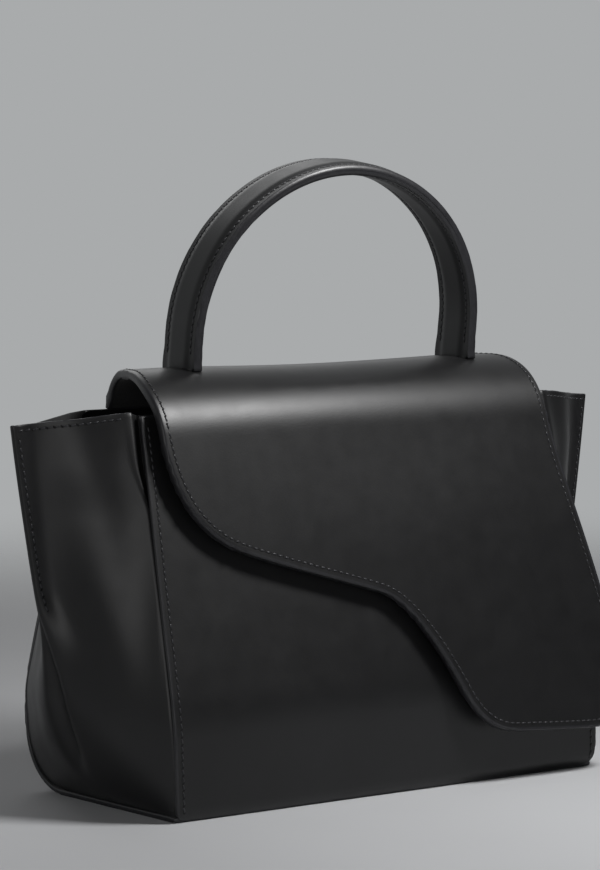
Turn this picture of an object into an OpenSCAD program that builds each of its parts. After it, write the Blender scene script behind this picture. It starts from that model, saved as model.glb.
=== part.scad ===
// Structured leather handbag with folded side wings, a wave-cut flap and one arched top handle.
// X runs across the front, -Y is the front, Z is up, and the origin is on the floor
// under the middle of the base.

/* [Body] */
// Width of the base on the floor
base_w = 261; // [220:1:300]
// Width of the front and back panels at their widest, at belly height
belly_w = 264; // [225:1:305]
// Width of the front and back panels at the mouth
mouth_w = 250; // [210:1:280]
// Height of the panels, floor to mouth
body_h = 190; // [160:1:220]
// Depth of the body on the floor
base_d = 127; // [100:1:160]
// Depth of the body at the mouth
mouth_d = 54; // [44:1:80]
// Height at which the upright foot of the panels turns into the lean
belly_z = 50; // [36:1:70]
// Height over which that turn is spread
belly_turn = 20; // [8:1:30]
// How far the back stands out behind the base
back_swell = 3; // [0:0.5:6]
// Outer radius where the back rolls under into the base
back_roll = 30; // [20:1:36]

/* [Leather and linings] */
// Thickness of the panel leather
panel_t = 2.4; // [1.8:0.1:3.2]
// Thickness of the gusset leather, and of the boards that fill in beside its seams
gusset_t = 1.6; // [1.2:0.1:2.2]
// Thickness of the lining
lining_t = 1; // [0.6:0.1:1.6]
// Height of the leather facing inside the mouth
facing_h = 24; // [14:1:40]

/* [Gussets] */
// How far the wing crease stands out beyond the panel edge at the mouth
wing_out = 56; // [30:1:75]
// How quickly the wing closes towards the floor: 1 is a straight crease
wing_power = 0.62; // [0.45:0.01:1]
// How far the wing tip sits below the mouth
wing_drop = 4.5; // [0:0.5:10]
// How far the gusset rolls out beside the panel edge at the mouth
shoulder_out = 7; // [3:0.5:12]
// Height below which the wing crease opens into a soft bend
crease_end = 95; // [60:1:130]
// Width of the seam flange sewn behind each panel
flange_w = 10; // [6:0.5:14]
// How far the painted panel edge stands proud of the gusset
edge_proud = 1.5; // [0.5:0.1:3]

/* [Flap] */
// Thickness of the flap's outer leather
flap_skin = 2.2; // [1.6:0.1:2.6]
// Thickness of the flap's lining leather
flap_lining_t = 2.3; // [1.8:0.1:3]
// Air between the front panel and the flap at the mouth
flap_air = 4.5; // [3:0.5:8]
// How much nearer upright the flap hangs than the front panel leans, in degrees
flap_swing = 0.8; // [0:0.1:3]
// Rise of the flap's crown above the mouth
crown_rise = 20; // [18:0.5:30]
// Radius of the crown over the back edge
crown_back_r = 17; // [13:0.5:18]
// Radius of the crown over the front
crown_front_r = 38; // [30:0.5:42]
// How far the flap's neck is narrower than the mouth on the left, in front
neck_left = 5.5; // [5:0.5:14]
// How far the flap's neck is narrower than the mouth on the right, in front
neck_right = 4; // [2:0.5:12]
// Extra narrowing of the neck at the back
neck_back = 7; // [4:0.5:10]
// Height of the hem above the floor
hem_z = 24; // [16:1:34]
// How far the flap's lower right corner reaches past the panels' widest place
hem_over = 11; // [0:0.5:16]
// Radius of that corner
hem_corner_r = 21; // [10:1:26]
// How far in from the left of the neck the wave turns towards the middle
wave_in = 32.5; // [25:0.5:40]
// How far below the mouth it turns there
wave_top_drop = 63; // [50:1:75]
// How far below the mouth the wave crosses the middle of the bag
wave_mid_drop = 90; // [78:1:100]
// Distance of the lobe's steep edge from the middle
lobe_x = 38.6; // [30:0.5:50]
// Height of the middle of that steep edge above the hem
lobe_rise = 25; // [18:1:34]

/* [Handle] */
// Outer width of the arch over its feet
handle_w = 180; // [150:1:200]
// Height of the arch above the crown
handle_rise = 102; // [96:1:120]
// Distance of its shoulders' centres from its middle
shoulder_x = 8; // [6:0.5:9]
// How much larger its radius over the top is than its shoulders' radius
arch_flatten = 12; // [10.5:0.5:15]
// How far the arch leans towards the front, in degrees
handle_lean = 8; // [0:0.5:12]
// Distance of the handle's middle to the right of the bag's middle
handle_x = 5.5; // [-5:0.5:10]
// Width of the strap
strap_w = 25; // [19:0.5:28]
// Thickness of each strap leather
strap_t = 2.5; // [1.8:0.1:2.8]
// Width of the raised core
core_w = 12; // [8:0.5:14]
// Thickness of the raised core
core_t = 2; // [1.6:0.1:3.6]
// How far above the crown the strap's flat edges stop
strap_stop = 2.5; // [1:0.5:5]
// Length of each foot's steel tab under the crown
tail_l = 24; // [18:1:30]
// Thickness of that tab
tail_t = 1.6; // [1.2:0.1:2.4]
// Thickness of the leather patch over each tab
patch_t = 1.4; // [1:0.1:2]
// Diameter of the rivets
rivet_d = 3.6; // [3:0.1:4.5]

/* [Closure and pocket] */
// Diameter of the two hidden magnets
magnet_d = 14; // [10:1:18]
// Thickness of each magnet
magnet_t = 1.2; // [0.8:0.1:1.4]
// Distance of the magnets in from the right end of the base
magnet_in = 38.5; // [25:0.5:50]
// Height of the magnets above the hem
magnet_rise = 44; // [36:1:56]
// Width of the slip pocket inside the back
pocket_w = 150; // [100:1:180]
// Height of the slip pocket
pocket_h = 95; // [60:1:100]
// Thickness of the pocket's leather
pocket_t = 1.2; // [0.8:0.1:2]

/* [Hidden] */
$fn = 48;

skin = [0.12, 0.12, 0.13];
cloth = [0.2, 0.2, 0.21];
board = [0.45, 0.42, 0.38];
steel = [0.6, 0.6, 0.62];

fit = 0.3;                               // clearance where two pieces move or slot together
arc_step = 15;                           // degrees between points on a rolled panel
seam_slack = 0.1;                        // room that each flange needs to lie behind its panel
lining_in = panel_t + gusset_t + seam_slack;   // depth of the lining's outer face
clear_in = lining_in + lining_t;         // depth at which the free room inside begins
roll_y = base_d / 2 + back_swell - back_roll;
turn_lo = belly_z - belly_turn / 2;
turn_hi = belly_z + belly_turn / 2;
turn_zs = [for (i = [0:4]) turn_lo + belly_turn * i / 4];
magnet_x = base_w / 2 - magnet_in;
magnet_z = hem_z + magnet_rise;
big = 2 * (base_w + wing_out);

flap_t = flap_skin + flap_lining_t;
crown_z = body_h + crown_rise;
hinge_gap = 0.3;
handle_y = 1;                            // the arch stands over the flat top of the crown

// ---- small helpers

function mix(a, b, t) = a + (b - a) * t;
function arc(c, r, a0, a1, n) =
    [for (i = [0:n]) let (a = mix(a0, a1, i / n)) [c[0] + r * cos(a), c[1] + r * sin(a)]];
function bezier(a, b, c, d, n) =
    [for (i = [0:n]) let (t = i / n, s = 1 - t)
        s * s * s * a + 3 * s * s * t * b + 3 * s * t * t * c + t * t * t * d];
function flip(list) = [for (i = [len(list) - 1:-1:0]) list[i]];

// A side-view outline (y, z) drawn out along X, and a front-view outline (x, z) along Y.
module along_x(points, w) rotate([90, 0, 90]) linear_extrude(w, center = true) polygon(points);
module along_y(points) rotate([90, 0, 0]) linear_extrude(big, center = true) polygon(points);

// ---- the body's side view: upright foot, soft turn, straight lean

function lean_run(z) =
    z <= turn_lo ? 0 :
    z < turn_hi ? (z - turn_lo) * (z - turn_lo) / (2 * belly_turn) :
    z - belly_z;
front_lean = (base_d - mouth_d) / 2 / lean_run(body_h);
back_lean = ((base_d - mouth_d) / 2 + back_swell) / lean_run(body_h);
function front_y(z) = -base_d / 2 + front_lean * lean_run(z);
function back_y(z) = base_d / 2 + back_swell - back_lean * lean_run(z);
function half_w(z) =
    z < belly_z ? mix(base_w, belly_w, z / belly_z) / 2 :
    mix(belly_w, mouth_w, (z - belly_z) / (body_h - belly_z)) / 2;

// One face of the front at a depth inside the skin, from z0 up to z1.
function front_face(depth, z0, z1) =
    [for (z = concat(z0, [for (t = turn_zs) if (t > z0 && t < z1) t], z1))
        [front_y(z) + depth, z]];
// The back's face, and the same face carried on round the roll and under the base.
function back_face(depth, z0, z1) =
    [for (z = concat(z0, [for (t = turn_zs) if (t > z0 && t < z1) t], z1))
        [back_y(z) - depth, z]];
function roll_face(depth) = arc([roll_y, back_roll], back_roll - depth, -90, 0, 90 / arc_step);
function wrap_face(depth, z1) =
    concat([[front_y(0) + depth, depth]], roll_face(depth), back_face(depth, back_roll + 1, z1));

module front_layer(d0, d1, z0, z1)
    along_x(concat(front_face(d0, z0, z1), flip(front_face(d1, z0, z1))), big);
module back_layer(d0, d1, z0, z1)
    along_x(concat(back_face(d0, z0, z1), flip(back_face(d1, z0, z1))), big);
// Both panels' outline from the front, held in by an inset.
module panel_outline(inset)
    along_y([for (s = [-1, 1]) for (z = s < 0 ? [0, belly_z, body_h] : [body_h, belly_z, 0])
        [s * (half_w(z) - inset), z]]);

// ---- panels, boards and linings

module front_panel()
    color(skin) intersection() {
        front_layer(0, panel_t, 0, body_h);
        panel_outline(0);
    }

// The back runs on under the base in one piece, and narrows to the flap's neck at the mouth.
neck_flare = 6;
module neck_outline() {
    low = body_h - neck_flare;
    along_y(concat([[-base_w, 0], [-base_w, low]],
        [for (p = bezier([half_w(low), low], [neck_x(-1, 1) + 1, low], [neck_x(-1, 1), low + 2],
                         [neck_x(-1, 1), body_h], 6)) [-p[0], p[1]]],
        flip(bezier([half_w(low), low], [neck_x(1, 1) + 1, low], [neck_x(1, 1), low + 2],
                    [neck_x(1, 1), body_h], 6)),
        [[base_w, low], [base_w, 0]]));
}
module back_and_base_panel()
    color(skin) intersection() {
        along_x(concat([[front_y(0) + panel_t, 0]], roll_face(0),
                       back_face(0, back_roll + 1, body_h),
                       flip(wrap_face(panel_t, body_h))), big);
        panel_outline(0);
        neck_outline();
    }

seam_inset = edge_proud + flange_w + fit;
module front_board()
    color(board) difference() {
        intersection() {
            front_layer(panel_t, lining_in, lining_in + fit, body_h - panel_t);
            panel_outline(seam_inset);
        }
        magnet_hole(front_y(magnet_z) + panel_t, front_tilt(magnet_z));
    }

module back_board()
    color(board) intersection() {
        back_layer(panel_t, lining_in, back_roll + 1, body_h - panel_t);
        panel_outline(seam_inset);
    }

module base_board()
    color(board) intersection() {
        translate([-big / 2, front_y(0) + lining_in + fit, panel_t])
            cube([big, roll_y - front_y(0) - 2 * lining_in, gusset_t]);
        panel_outline(seam_inset);
    }

module front_lining()
    color(cloth) intersection() {
        front_layer(lining_in, clear_in, clear_in, body_h - facing_h);
        panel_outline(edge_proud);
    }

module back_and_base_lining()
    color(cloth) intersection() {
        along_x(concat(wrap_face(lining_in, body_h - facing_h),
                       flip(wrap_face(clear_in, body_h - facing_h))), big);
        panel_outline(edge_proud);
    }

module front_facing()
    color(skin) intersection() {
        front_layer(lining_in, clear_in, body_h - facing_h, body_h);
        panel_outline(edge_proud);
    }

module back_facing()
    color(skin) intersection() {
        back_layer(lining_in, clear_in, body_h - facing_h, body_h);
        panel_outline(edge_proud);
    }

// An open-topped pocket that lies flat on the back lining.
module slip_pocket() {
    top = body_h - facing_h - 6;
    color(skin) intersection() {
        back_layer(clear_in, clear_in + pocket_t, back_roll + 1, top);
        along_y(let (r = 12, w = pocket_w / 2, z = max(top - pocket_h, back_roll + 1))
            concat(arc([-w + r, z + r], r, 180, 270, 6), arc([w - r, z + r], r, 270, 360, 6),
                   [[w, top], [-w, top]]));
    }
}

// ---- gussets: folded wings, lofted in level sections from the base to the mouth

function ease(t) = let (u = min(max(t, 0), 1)) u * u * (3 - 2 * u);
seam_roll = 1.5;                         // how far the leather rolls out beside its seams
shoulder_from = 0.72;                    // share of the height where the shoulder starts
// Levels that follow the rolled back, the belly turn and the wing.
function gusset_levels(depth) =
    concat([for (a = [0:arc_step:75]) back_roll - (back_roll - depth) * cos(a)],
           [back_roll + 1], turn_zs, [for (i = [1:7]) mix(turn_hi, body_h, i / 7)]);
function wrap_y(depth, z) =
    z >= back_roll ? back_y(z) - depth :
    roll_y + sqrt(max(pow(back_roll - depth, 2) - pow(back_roll - z, 2), 0));
// Share of the wing across the gusset, u from -1 at the front to 1 at the back: a sharp
// crease above crease_end, opening into a round bend below it.
function wing_share(u, z) = 1 - pow(abs(u), 1 + pow(max(1 - z / crease_end, 0), 1.5));
// Outer line of one level as [x, y], x outwards, from seam to seam.
function gusset_line(z) =
    let (x = half_w(z) - edge_proud, yf = front_y(z) + panel_t, yb = wrap_y(panel_t, z),
         s = mix(seam_roll, shoulder_out, ease((z / body_h - shoulder_from) / (1 - shoulder_from))),
         out = (wing_out + edge_proud - s) * pow((z - panel_t) / (body_h - panel_t), wing_power))
    concat([[x, yf]],
           [for (u = [-1:0.25:1]) [x + s + out * wing_share(u, z), mix(yf, yb, (u + 1) / 2)]],
           [[x, yb]]);
// Each flange leaves its panel by a hair at its end.
function flanged(line) =
    concat([line[0] + [-flange_w, seam_slack / 2]], line,
           [line[len(line) - 1] - [flange_w, seam_slack / 2]]);
// The line moved inwards by d, mitred at its corners.
function unit(v) = v / norm(v);
function side_of(a, b) = let (d = unit(b - a)) [-d[1], d[0]];
function inset_line(p, d) =
    [for (i = [0:len(p) - 1])
        let (n = i == 0 ? side_of(p[0], p[1]) : side_of(p[i - 1], p[i]),
             m = i == len(p) - 1 ? n : side_of(p[i], p[i + 1]))
        p[i] + d * (n + m) / (1 + n * m)];
// The wing tip sits lower than the mouth, in proportion to the height.
function level_points(line, z) =
    [for (p = line) [-p[0], p[1],
        z * (1 - wing_drop / body_h * max(p[0] - half_w(z), 0) / wing_out)]];

// A closed sheet between two grids of points that have the same rows and columns.
module sheet(outer, inner) {
    rows = len(outer);
    cols = len(outer[0]);
    n = rows * cols;
    function at(k, i, j) = k * n + i * cols + j;
    polyhedron(
        points = [for (g = [outer, inner]) for (row = g) for (p = row) p],
        faces = concat(
            [for (i = [0:rows - 2]) for (j = [0:cols - 2]) for (f = [
                [at(0, i, j), at(0, i, j + 1), at(0, i + 1, j + 1)],
                [at(0, i, j), at(0, i + 1, j + 1), at(0, i + 1, j)],
                [at(1, i, j), at(1, i + 1, j + 1), at(1, i, j + 1)],
                [at(1, i, j), at(1, i + 1, j), at(1, i + 1, j + 1)]]) f],
            [for (j = [0:cols - 2]) for (f = [
                [at(0, 0, j), at(1, 0, j), at(1, 0, j + 1)],
                [at(0, 0, j), at(1, 0, j + 1), at(0, 0, j + 1)],
                [at(0, rows - 1, j), at(1, rows - 1, j + 1), at(1, rows - 1, j)],
                [at(0, rows - 1, j), at(0, rows - 1, j + 1), at(1, rows - 1, j + 1)]]) f],
            [for (i = [0:rows - 2]) for (f = [
                [at(0, i, 0), at(1, i + 1, 0), at(1, i, 0)],
                [at(0, i, 0), at(0, i + 1, 0), at(1, i + 1, 0)],
                [at(0, i, cols - 1), at(1, i, cols - 1), at(1, i + 1, cols - 1)],
                [at(0, i, cols - 1), at(1, i + 1, cols - 1), at(0, i + 1, cols - 1)]]) f]),
        convexity = 6);
}

module gusset_sheet(flanges, d0, d1, floor_z) {
    zs = concat(floor_z, [for (z = gusset_levels(panel_t)) if (z > floor_z) z]);
    lines = [for (z = zs) flanges ? flanged(gusset_line(z)) : gusset_line(z)];
    grids = [for (d = [d0, d1])
        [for (i = [0:len(zs) - 1]) level_points(inset_line(lines[i], d), zs[i])]];
    sheet(grids[0], grids[1]);
}

module left_gusset() color(skin) gusset_sheet(true, 0, gusset_t, panel_t);
module right_gusset() mirror([1, 0, 0]) left_gusset();
module left_gusset_lining()
    color(cloth) gusset_sheet(false, lining_in - panel_t, clear_in - panel_t, clear_in);
module right_gusset_lining()
    mirror([1, 0, 0]) left_gusset_lining();

// ---- magnets, one behind the front panel and one inside the flap

function front_tilt(z) = atan(front_lean * (lean_run(z + 1) - lean_run(z - 1)) / 2);
module magnet_disc(y, tilt, d, t)
    translate([magnet_x, y, magnet_z]) rotate([-90 - tilt, 0, 0]) cylinder(h = t, d = d);
module magnet_hole(y, tilt)
    translate([magnet_x, y, magnet_z]) rotate([-90 - tilt, 0, 0])
        translate([0, 0, -panel_t]) cylinder(h = 3 * panel_t, d = magnet_d + 2 * fit);
module front_magnet()
    color(steel) magnet_disc(front_y(magnet_z) + panel_t + fit / 2, front_tilt(magnet_z),
                             magnet_d, magnet_t);

// ---- flap: one sheet from the back edge over the crown and down the front

flap_lean = atan(front_lean) - flap_swing;
back_tilt = atan(back_lean);
back_arc_z = crown_z - crown_back_r;
back_arc_y = mouth_d / 2 - back_lean * (back_arc_z + crown_back_r * sin(back_tilt) - body_h)
    - crown_back_r * cos(back_tilt);
front_arc_z = crown_z - crown_front_r;
function flap_front_y(z) = -mouth_d / 2 - flap_air - flap_t - tan(flap_lean) * (body_h - z);
front_arc_y = flap_front_y(front_arc_z + crown_front_r * sin(flap_lean))
    + crown_front_r * cos(flap_lean);

// The flap's line at a depth below its outer face, from the hinge to the hem.
function flap_line(d, z_end) =
    let (back = arc([back_arc_y, back_arc_z], crown_back_r - d, back_tilt, 90, 8),
         front = arc([front_arc_y, front_arc_z], crown_front_r - d, 90, 180 - flap_lean, 12),
         z0 = body_h + hinge_gap)
    concat([back[0] + [(back[0][1] - z0) * back_lean, z0 - back[0][1]]], back, front,
           [front[12] + [-tan(flap_lean), -1] * (front[12][1] - z_end)]);

// How far the flap reaches at its neck: side -1 is left, back 0 is the front and 1 the back.
function neck_x(side, back) =
    mouth_w / 2 - (side < 0 ? neck_left : neck_right) - neck_back * back;
neck_bend = 10;                          // half the depth over which the neck narrows
function neck_edge(side) = let (a = neck_x(side, 0), b = neck_x(side, 1), y = 2)
    [for (p = bezier([a, y - neck_bend], [a, y], [b, y], [b, y + neck_bend], 6))
        [side * p[0], p[1]]];

module flap_outline() {
    left = -neck_x(-1, 0);
    right = neck_x(1, 0);
    knee = [left + wave_in, body_h - wave_top_drop];
    mid = [-4, body_h - wave_mid_drop];
    lobe = [lobe_x, hem_z + lobe_rise];
    foot = [lobe_x + 30, hem_z + 3];
    hem_right = belly_w / 2 + hem_over;
    neck_z = body_h - 5;
    along_y(concat(
        bezier([left, neck_z], [left + 1.5, neck_z - 34], knee + [-17, 8], knee, 10),
        bezier(knee, knee + [25, -9.5], mid + [-25, 8.2], mid, 4),
        bezier(mid, mid + [16, -5.3], lobe + [-11, 20], lobe, 8),
        bezier(lobe, lobe + [8.5, -15.7], foot + [-14, 0.8], foot, 8),
        arc([hem_right - hem_corner_r, hem_z + hem_corner_r], hem_corner_r, 270, 360, 8),
        bezier([hem_right, hem_z + hem_corner_r], [hem_right - 0.5, neck_z - 89],
               [right + 0.5, neck_z - 35], [right, neck_z], 10)));
    translate([0, 0, neck_z]) linear_extrude(2 * crown_rise)
        polygon(concat([[left, -big]], neck_edge(-1), [[-neck_x(-1, 1), big]],
                       [[neck_x(1, 1), big]], flip(neck_edge(1)), [[right, -big]]));
}

module flap_layer(d0, d1)
    intersection() {
        along_x(concat(flap_line(d0, hem_z - 2), flip(flap_line(d1, hem_z - 2))), big);
        flap_outline();
    }

strap_mid_x = handle_w / 2 - strap_t - core_t / 2;     // middle of each leg from the arch's middle
slot_l = 2 * strap_t + core_t + 2 * fit;
strap_slope = 1.2;                       // width of the slope beside the raised middle
strap_foot_w = core_w + 4 * strap_slope;
slot_w = strap_foot_w + 2 * fit;
module handle_slots()
    for (s = [-1, 1]) translate([handle_x + s * strap_mid_x, handle_y, crown_z])
        cube([slot_l, slot_w, 4 * flap_t], center = true);

board_t = 1;
board_over = 12;
module crown_strip(d0, d1, grow)
    intersection() {
        along_x(concat(flap_line(d0, hem_z), flip(flap_line(d1, hem_z))), big);
        translate([handle_x, handle_y, crown_z])
            cube([handle_w + 2 * board_over + 2 * grow, strap_w + 2 * grow, 2 * crown_rise],
                 center = true);
    }

module flap_outer()
    color(skin) difference() {
        flap_layer(0, flap_skin);
        handle_slots();
    }

// The flap magnet sits in a pocket in the lining, right behind the outer leather.
flap_magnet_y = flap_front_y(magnet_z) + flap_skin / cos(flap_lean);
module flap_lining()
    color(skin) difference() {
        flap_layer(flap_skin, flap_t);
        crown_strip(flap_skin - 1, flap_skin + board_t, fit);
        handle_slots();
        rivet_shanks(rivet_d + fit);
        translate([magnet_x, flap_magnet_y, magnet_z]) rotate([-90 - flap_lean, 0, 0])
            translate([0, 0, -1]) cylinder(h = magnet_t + fit + 1, d = magnet_d + 2 * fit);
    }

module crown_board()
    color(board) difference() {
        crown_strip(flap_skin, flap_skin + board_t, 0);
        handle_slots();
        rivet_shanks(rivet_d + fit);
    }

module flap_magnet()
    color(steel) magnet_disc(flap_magnet_y + fit / 2, flap_lean, magnet_d, magnet_t);

// ---- handle: two straps round a raised core, an arch of three arcs on two straight legs

arch_side_r = handle_w / 2 - shoulder_x;
arch_top_r = arch_side_r + arch_flatten;
arch_turn = asin(shoulder_x / arch_flatten);
arch_top_z = crown_z + handle_rise - arch_top_r;
arch_side_z = arch_top_z + arch_flatten * cos(arch_turn);
arch_half = strap_t + core_t / 2;                      // outer face to the middle of the arch

// Stations along the arch, as [centre x, centre z, radius, angle], from the right foot round
// to the left foot. Each leg has three: its end, and just below and at the flat edges' stop.
side_turns = 8;
top_turns = 12;
stop_z = crown_z + strap_stop;
stop_taper = 0.8;                         // height over which the flat edges end
function stations(foot_z) =
    let (leg = [for (z = [foot_z, stop_z - stop_taper, stop_z]) [shoulder_x, z, arch_side_r, 0]],
         side = [for (i = [0:side_turns])
             [shoulder_x, arch_side_z, arch_side_r, (90 - arch_turn) * i / side_turns]],
         top = [for (i = [1:top_turns - 1])
             [0, arch_top_z, arch_top_r, mix(90 - arch_turn, 90 + arch_turn, i / top_turns)]])
    concat(leg, side, top,
           [for (p = flip(concat(leg, side))) [-p[0], p[1], p[2], 180 - p[3]]]);

// A section of [outwards, across] points swept along the arch as one closed skin, with a
// narrower section of as many points in the slots. The first half of a section runs along one
// side and the second half runs back, so strips from one to the other close the ends. Above
// the flat edges' stop the arch leans forward. Each face is split the same way as the face of
// the piece that lies against it.
function leaning(p) = let (up = max(p[2] - stop_z, 0))
    [p[0], p[1] - up * sin(handle_lean), min(p[2], stop_z) + up * cos(handle_lean)];
module arch(foot_z, section, foot_section) {
    m = len(section);
    path = stations(foot_z);
    last = len(path) - 1;
    translate([handle_x, handle_y, 0]) polyhedron(
        points = [for (i = [0:last]) let (p = path[i])
            for (q = i < 2 || i > last - 2 ? foot_section : section)
                let (r = p[2] - arch_half + q[0])
                leaning([p[0] + r * cos(p[3]), q[1], p[1] + r * sin(p[3])])],
        faces = concat(
            [for (j = [0:m / 2 - 2]) [j, j + 1, m - 2 - j, m - 1 - j]],
            [for (j = [0:m / 2 - 2]) [for (q = [m - 1 - j, m - 2 - j, j + 1, j]) last * m + q]],
            [for (i = [0:last - 1]) for (j = [0:m - 1])
                let (k = (j + 1) % m, a = i * m + j, b = i * m + k, up = section[j][1] < section[k][1])
                for (f = up ? [[a, b + m, b], [a, a + m, b + m]]
                            : [[a, a + m, b], [a + m, b + m, b]]) f]),
        convexity = 6);
}

// One strap leather: flat stitched edges and a raised middle over the core. s = 1 is outside.
function strap_section(s, flat) =
    let (up = core_t / 2, in = core_w / 2, bead = strap_slope / 2,
         half = [[0, -flat], [0, -in - strap_slope], [up, -in], [up, in],
                 [0, in + strap_slope], [0, flat], [strap_t, flat],
                 [strap_t, in + strap_slope + bead], [up + strap_t, in],
                 [up + strap_t, -in], [strap_t, -in - strap_slope - bead],
                 [strap_t, -flat]])
    s > 0 ? half : flip([for (p = half) [-p[0], p[1]]]);

// The flat edges stop just above the crown, and the raised middle goes on into the slots.
lining_under_z = crown_z - flap_t;
module strap(s)
    arch(lining_under_z, strap_section(s, strap_w / 2), strap_section(s, strap_foot_w / 2));
module handle_outer_strap() color(skin) strap(1);
module handle_inner_strap() color(skin) strap(-1);

module handle_core() {
    section = let (a = core_t / 2, b = core_w / 2) [[-a, -b], [-a, b], [a, b], [a, -b]];
    color(board) arch(crown_z, section, section);
}

// A bent steel tab carries on from the core in each leg, turns inwards under the crown and is
// riveted there.
tail_z = lining_under_z - fit - tail_t;
module handle_anchor() {
    translate([strap_mid_x - core_t / 2, -core_w / 2, tail_z])
        cube([core_t, core_w, crown_z - tail_z]);
    difference() {
        translate([strap_mid_x - tail_l, -core_w / 2, tail_z]) cube([tail_l, core_w, tail_t]);
        rivet_pair(rivet_d + fit, tail_z - 1, tail_t + 2);
    }
}
module left_handle_anchor()
    color(steel) translate([handle_x, handle_y, 0]) mirror([1, 0, 0]) handle_anchor();
module right_handle_anchor() color(steel) translate([handle_x, handle_y, 0]) handle_anchor();

patch_z = tail_z - patch_t;
rivet_in = 6;                            // first rivet's distance from the tab's inner end
rivet_gap = 9;
module rivet_pair(d, z, h)
    for (x = [rivet_in, rivet_in + rivet_gap]) translate([strap_mid_x - tail_l + x, 0, z])
        cylinder(h = h, d = d);
patch_over = 3;
module handle_patch()
    difference() {
        translate([strap_mid_x - tail_l - patch_over, -core_w / 2 - patch_over, patch_z])
            cube([tail_l + 2 * patch_over, core_w + 2 * patch_over, patch_t]);
        rivet_pair(rivet_d + fit, patch_z - 1, patch_t + 2);
    }
module left_handle_patch()
    color(skin) translate([handle_x, handle_y, 0]) mirror([1, 0, 0]) handle_patch();
module right_handle_patch() color(skin) translate([handle_x, handle_y, 0]) handle_patch();

rivet_head_d = 7;
rivet_head_t = 1.2;
module rivet_shanks(d)
    translate([handle_x, handle_y, 0]) for (m = [0, 1]) mirror([m, 0, 0])
        rivet_pair(d, patch_z - fit, crown_z - flap_skin - patch_z);
module handle_rivets()
    color(steel) {
        rivet_shanks(rivet_d);
        translate([handle_x, handle_y, 0]) for (m = [0, 1]) mirror([m, 0, 0])
            rivet_pair(rivet_head_d, patch_z - rivet_head_t, rivet_head_t);
    }

front_panel();
back_and_base_panel();
left_gusset();
right_gusset();
front_board();
back_board();
base_board();
front_lining();
back_and_base_lining();
left_gusset_lining();
right_gusset_lining();
front_facing();
back_facing();
slip_pocket();
front_magnet();
flap_outer();
flap_lining();
crown_board();
flap_magnet();
handle_outer_strap();
handle_inner_strap();
handle_core();
left_handle_anchor();
right_handle_anchor();
left_handle_patch();
right_handle_patch();
handle_rivets();
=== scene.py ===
# A structured handbag in smooth black leather: folded side wings, a wave-cut flap and one
# arched handle, seen from the left of its front, on pale paper. x runs to the right, y to the
# back and z up. Sizes are in mm, and MM turns them to the frame's metres.
import bisect
import math

import bmesh
import bpy
from mathutils import Matrix, Vector, noise


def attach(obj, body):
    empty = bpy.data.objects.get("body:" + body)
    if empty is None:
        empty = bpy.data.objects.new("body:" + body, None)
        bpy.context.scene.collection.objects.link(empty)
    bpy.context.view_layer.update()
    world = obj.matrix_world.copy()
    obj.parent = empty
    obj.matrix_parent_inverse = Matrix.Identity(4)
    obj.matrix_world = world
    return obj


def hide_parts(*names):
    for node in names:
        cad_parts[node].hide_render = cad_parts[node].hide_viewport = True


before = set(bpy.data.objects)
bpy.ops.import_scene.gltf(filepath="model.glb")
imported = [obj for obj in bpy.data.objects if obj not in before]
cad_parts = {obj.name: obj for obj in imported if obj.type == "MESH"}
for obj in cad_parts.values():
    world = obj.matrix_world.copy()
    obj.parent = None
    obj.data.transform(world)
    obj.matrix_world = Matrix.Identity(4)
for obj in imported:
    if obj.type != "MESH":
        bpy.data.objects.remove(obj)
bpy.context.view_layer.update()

# ---- Camera. A long lens to the left of the front, level with the top of the handle and
# tipped down by 4.4 degrees, which keeps the upright edges almost parallel.
MM = 0.001
LENS_MM, SENSOR_MM, CLIP_NEAR = 147.94, 36, 50
CAMERA_AT = (-1091.6, -1418.3, 311.4)
HEADING, TIPPED, TILTED = -37.339, 4.415, -0.163    # degrees

lens = bpy.data.cameras.new("camera")
lens.lens = LENS_MM
lens.sensor_width = SENSOR_MM
lens.clip_start = CLIP_NEAR * MM
camera = bpy.data.objects.new("camera", lens)
camera.matrix_world = (
    Matrix.Translation(Vector(CAMERA_AT) * MM)
    @ Matrix.Rotation(math.radians(HEADING), 4, "Z")
    @ Matrix.Rotation(math.radians(90 - TIPPED), 4, "X")
    @ Matrix.Rotation(math.radians(TILTED), 4, "Z"))
bpy.context.scene.collection.objects.link(camera)
bpy.context.scene.camera = camera
bpy.context.scene.view_settings.view_transform = "Standard"

# ---- Studio. Pale paper under the bag and a pale grey all round, one near key lamp high on the
# right that throws the flap's shadow on the front, and two wide soft fills.
FLOOR_R, FLOOR_SINK = 1600, 0.1
FADE_FROM, FADE_TO = 450, 1500


def colour(code):
    """An sRGB hex value as the linear colour that a shader takes."""
    parts = [int(code[i:i + 2], 16) / 255 for i in (1, 3, 5)]
    return [c / 12.92 if c <= 0.04045 else ((c + 0.055) / 1.055) ** 2.4 for c in parts] + [1]


def add(tree, kind, settings=None, **inputs):
    """One shader node. Settings are its properties. Inputs are values or other sockets, and
    _0, _1 and so on name the sockets that share a name."""
    made = tree.nodes.new("ShaderNode" + kind)
    for key, value in (settings or {}).items():
        setattr(made, key, value)
    for key, value in inputs.items():
        socket = made.inputs[int(key[1:]) if key[1:].isdigit() else key.replace("_", " ")]
        if isinstance(value, bpy.types.NodeSocket):
            tree.links.new(value, socket)
        else:
            socket.default_value = value
    return made


def new_material(name):
    """An empty material, its node tree and the place on the object that its patterns read."""
    made = bpy.data.materials.new(name)
    made.use_nodes = True
    made.node_tree.nodes.clear()
    return made, made.node_tree, add(made.node_tree, "TexCoord").outputs["Object"]


def every(size):
    """The scale of a pattern whose features lie about so many mm apart."""
    return 1 / (size * MM)


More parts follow.
